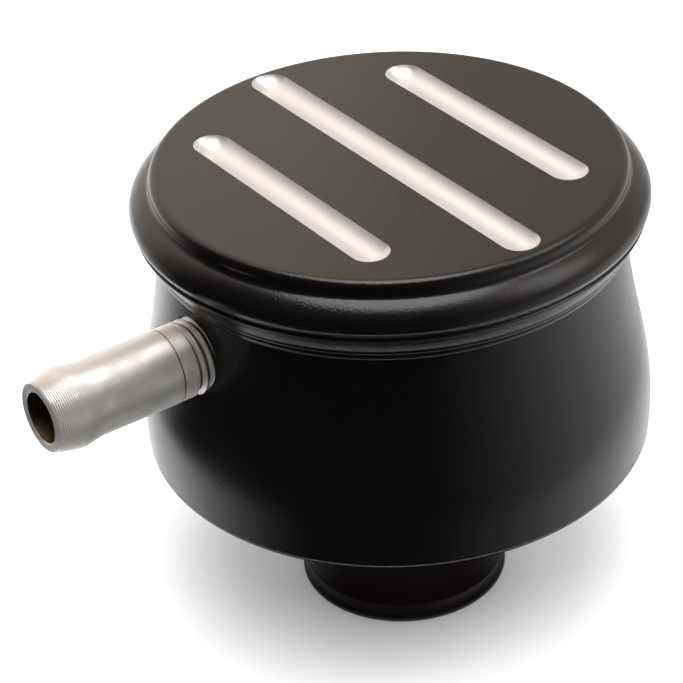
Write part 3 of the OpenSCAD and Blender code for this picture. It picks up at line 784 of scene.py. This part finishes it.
class BREATHER_OT_stage(bpy.types.Operator):
    """Sets the pale floor, the room, the softboxes, the dark cards and the camera"""

    bl_idname = "breather.stage"
    bl_label = "Stage"

    def execute(self, context):
        s = context.scene.breather_stage
        self.add_floor(s)
        self.add_room(context.scene, s)
        self.add_softboxes(s)
        self.add_dark_cards(s)
        self.add_camera(context.scene, s)
        context.scene.view_settings.view_transform = "Standard"
        return {"FINISHED"}

    def add_floor(self, s):
        """A pale floor, bright enough to show white wherever the breather's shadow doesn't fall."""
        half_width = 3.0
        bm = bmesh.new()
        bmesh.ops.create_grid(bm, x_segments=1, y_segments=1, size=half_width)
        bmesh.ops.translate(bm, verts=bm.verts, vec=(0, 0, -NECK_REACH))
        # Matt white paper, whose fibres of about 2 mm hardly show
        material, tree, shader = surface("white_paper", s.floor, metallic=0.0, roughness=0.9)
        shader.inputs["Specular IOR Level"].default_value = 0.0
        fibres = grain(tree, mm(2), detail=3.0)
        raise_by(tree, shader, fibres, "Fac", height=mm(0.01), strength=0.2)
        to_mesh("floor", bm, material)

    def add_room(self, scene, s):
        """A white room, dimmer on matt surfaces so that they keep their written colour."""
        world = bpy.data.worlds.new("white_room")
        scene.world = world
        world.use_nodes = True
        tree = world.node_tree
        background = tree.nodes["Background"]
        seen = seen_directly(tree)
        tint = add(tree, "ShaderNodeMix", [(0, seen, "Value")], data_type="RGBA")
        tint.inputs[6].default_value = (*linear("ffffff"), 1)
        tint.inputs[7].default_value = (*s.room, 1)
        tree.links.new(tint.outputs[2], background.inputs["Color"])
        strength = add(tree, "ShaderNodeMapRange", [("Value", seen, "Value")])
        strength.inputs["To Min"].default_value = s.ambient
        strength.inputs["To Max"].default_value = s.walls
        tree.links.new(strength.outputs["Result"], background.inputs["Strength"])

    def add_softbox(self, name, radiance, width, depth, place, turn):
        """A rectangular softbox at a place, turned so. All lengths are in metres."""
        light = bpy.data.lights.new(name, "AREA")
        light.shape = "RECTANGLE"
        light.size = width
        light.size_y = depth
        light.energy = radiance * math.pi * width * depth
        lamp = bpy.data.objects.new(name, light)
        lamp.location = place
        lamp.rotation_euler = turn
        bpy.context.scene.collection.objects.link(lamp)
        return lamp

    def add_softboxes(self, s):
        """One softbox overhead with a bright centre, one on the right and one over the camera."""
        over = toward(s.azimuth, out=0.08, side=-0.03, height=1.0)
        flat = Euler((0, 0, s.azimuth + QUARTER_TURN))
        right = toward(math.radians(52), out=0.75, side=0, height=0.8)
        front = toward(s.azimuth, out=0.55, side=0, height=0.85)
        lamps = {}
        for name, radiance, width, depth, place, turn in (
            ("softbox", s.softbox, 0.84, 0.73, over, flat),
            ("softbox_centre", s.centre, 0.4, 0.36, over, flat),
            ("side_softbox", s.side, 0.45, 0.5, right, facing_breather(right)),
            ("front_softbox", s.front, 0.5, 0.4, front, facing_breather(front)),
        ):
            lamps[name] = self.add_softbox(name, radiance, width, depth, place, turn)
        # The black coat would mirror this one, so it lights matt surfaces alone
        lamps["front_softbox"].visible_glossy = False

    def add_dark_cards(self, s):
        """Dark cards on the camera's side, which only reflections show, as round a black object."""
        above_floor = mm(0.5)
        low = -NECK_REACH + above_floor
        split = mm(81)
        around_neck = [(mm(13.8), low), (mm(36), low)]
        on_floor = [(mm(43), low), (split, low)]
        # The far card goes on as a dome from the horizon up
        dome_radius, dome_top = mm(750), 69
        to_dome = [(split, low), *arc((0, low), dome_radius, 0, dome_top, 23)]
        # Degrees to the left and the right of the camera over which each card thins out, and
        # how much light it lets through on its right
        self.add_card("neck_card", s, around_neck, left=(40, 130), right=(40, 130), most=0.6)
        self.add_card("near_card", s, on_floor, left=(32, 100), right=(5, 105), most=0.85)
        self.add_card("far_card", s, to_dome, left=(92, 135), right=(10, 110), most=0.62)

    def add_card(self, name, s, outline, left, right, most):
        """A dark card spun from an outline, which lets light through to its left and right."""
        bm = spun(outline, steps=90, closed=False)
        black = linear("0d0d0d")
        material, tree, shader = surface(f"{name}_black", black, metallic=0.0, roughness=1.0)
        shader.inputs["Specular IOR Level"].default_value = 0.0
        place = add(tree, "ShaderNodeTexCoord")
        split = add(tree, "ShaderNodeSeparateXYZ", [("Vector", place, "Object")])
        angle = add(tree, "ShaderNodeMath", [(0, split, "Y"), (1, split, "X")], operation="ARCTAN2")
        shift = add(
            tree, "ShaderNodeMath", [(0, angle, "Value")], operation="SUBTRACT", in_1=s.azimuth)
        aside = add(
            tree, "ShaderNodeMath", [(0, shift, "Value")], operation="WRAP",
            in_1=math.pi, in_2=-math.pi)
        open_right = fade(tree, aside, *right, most)
        open_left = fade(tree, aside, -left[0], -left[1], most=1.0)
        opened = add(
            tree, "ShaderNodeMath", [(0, open_right, "Result"), (1, open_left, "Result")],
            operation="MAXIMUM")
        clear = add(tree, "ShaderNodeBsdfTransparent")
        mixed = add(
            tree, "ShaderNodeMixShader",
            [(0, opened, "Value"), (1, shader, "BSDF"), (2, clear, "BSDF")])
        tree.links.new(mixed.outputs["Shader"], tree.nodes["Material Output"].inputs["Surface"])
        card = to_mesh(name, bm, material)
        for hidden in ("camera", "diffuse", "transmission", "volume_scatter", "shadow"):
            setattr(card, f"visible_{hidden}", False)

    def add_camera(self, scene, s):
        """The camera that took the photograph, found from the breather's own circles."""
        data = bpy.data.cameras.new("camera")
        data.lens = s.lens
        data.sensor_width = 36
        camera = bpy.data.objects.new("camera", data)
        camera.location = [mm(value) for value in (229.382, -160.615, 193.838)]
        camera.rotation_euler = [math.radians(angle) for angle in (57.0278, 2.6395, 54.7099)]
        scene.collection.objects.link(camera)
        scene.camera = camera


def toward(azimuth, out, side, height):
    """A point so far out towards the camera's side, so far to its right, and so high."""
    ahead = Vector((math.cos(azimuth), math.sin(azimuth), 0))
    right = Vector((-math.sin(azimuth), math.cos(azimuth), 0))
    return ahead * out + right * side + Vector((0, 0, height))


def facing_breather(place):
    """The turn that makes a lamp at a place shine at the breather."""
    return place.to_track_quat("Z", "Y").to_euler()


def fade(tree, source, start, end, most):
    """Rises smoothly from 0 to most as an angle goes from start to end degrees."""
    node = add(
        tree, "ShaderNodeMapRange", [("Value", source, "Value")], interpolation_type="SMOOTHSTEP")
    node.inputs["From Min"].default_value = math.radians(start)
    node.inputs["From Max"].default_value = math.radians(end)
    node.inputs["To Max"].default_value = most
    return node


def seen_directly(tree):
    """1 for rays from the camera and from mirrors and glass, 0 for the others."""
    path = add(tree, "ShaderNodeLightPath")
    first = add(
        tree, "ShaderNodeMath",
        [(0, path, "Is Camera Ray"), (1, path, "Is Glossy Ray")], operation="MAXIMUM")
    return add(
        tree, "ShaderNodeMath",
        [(0, first, "Value"), (1, path, "Is Transmission Ray")], operation="MAXIMUM")


class BREATHER_PT_panel(bpy.types.Panel):
    """Lists the breather's pieces, sizes, finishes and stage"""

    bl_label = "Breather"
    bl_space_type = "VIEW_3D"
    bl_region_type = "UI"
    bl_category = "Breather"

    def draw(self, context):
        for operator in OPERATORS:
            self.layout.operator(operator.bl_idname)
        for name in SETTINGS:
            group = getattr(context.scene, name)
            box = self.layout.box()
            for key in group.bl_rna.properties.keys():
                if key not in ("rna_type", "name"):
                    box.prop(group, key)


SETTINGS = {
    "breather_body": BreatherBodySizes,
    "breather_cap": BreatherCapSizes,
    "breather_neck": BreatherNeckSizes,
    "breather_nipple": BreatherNippleSizes,
    "breather_finish": BreatherFinish,
    "breather_stage": BreatherStage,
}
OPERATORS = (
    BREATHER_OT_finish,
    BREATHER_OT_body,
    BREATHER_OT_cap,
    BREATHER_OT_neck,
    BREATHER_OT_nipple,
    BREATHER_OT_inside,
    BREATHER_OT_stage,
)


def register():
    for name, group in SETTINGS.items():
        bpy.utils.register_class(group)
        setattr(bpy.types.Scene, name, bpy.props.PointerProperty(type=group))
    for cls in (*OPERATORS, BREATHER_PT_panel):
        bpy.utils.register_class(cls)


def unregister():
    for cls in (BREATHER_PT_panel, *reversed(OPERATORS)):
        bpy.utils.unregister_class(cls)
    for name, group in SETTINGS.items():
        delattr(bpy.types.Scene, name)
        bpy.utils.unregister_class(group)


def main():
    register()
    for operator in OPERATORS:
        group, name = operator.bl_idname.split(".")
        getattr(getattr(bpy.ops, group), name)()


if __name__ == "__main__":
    main()
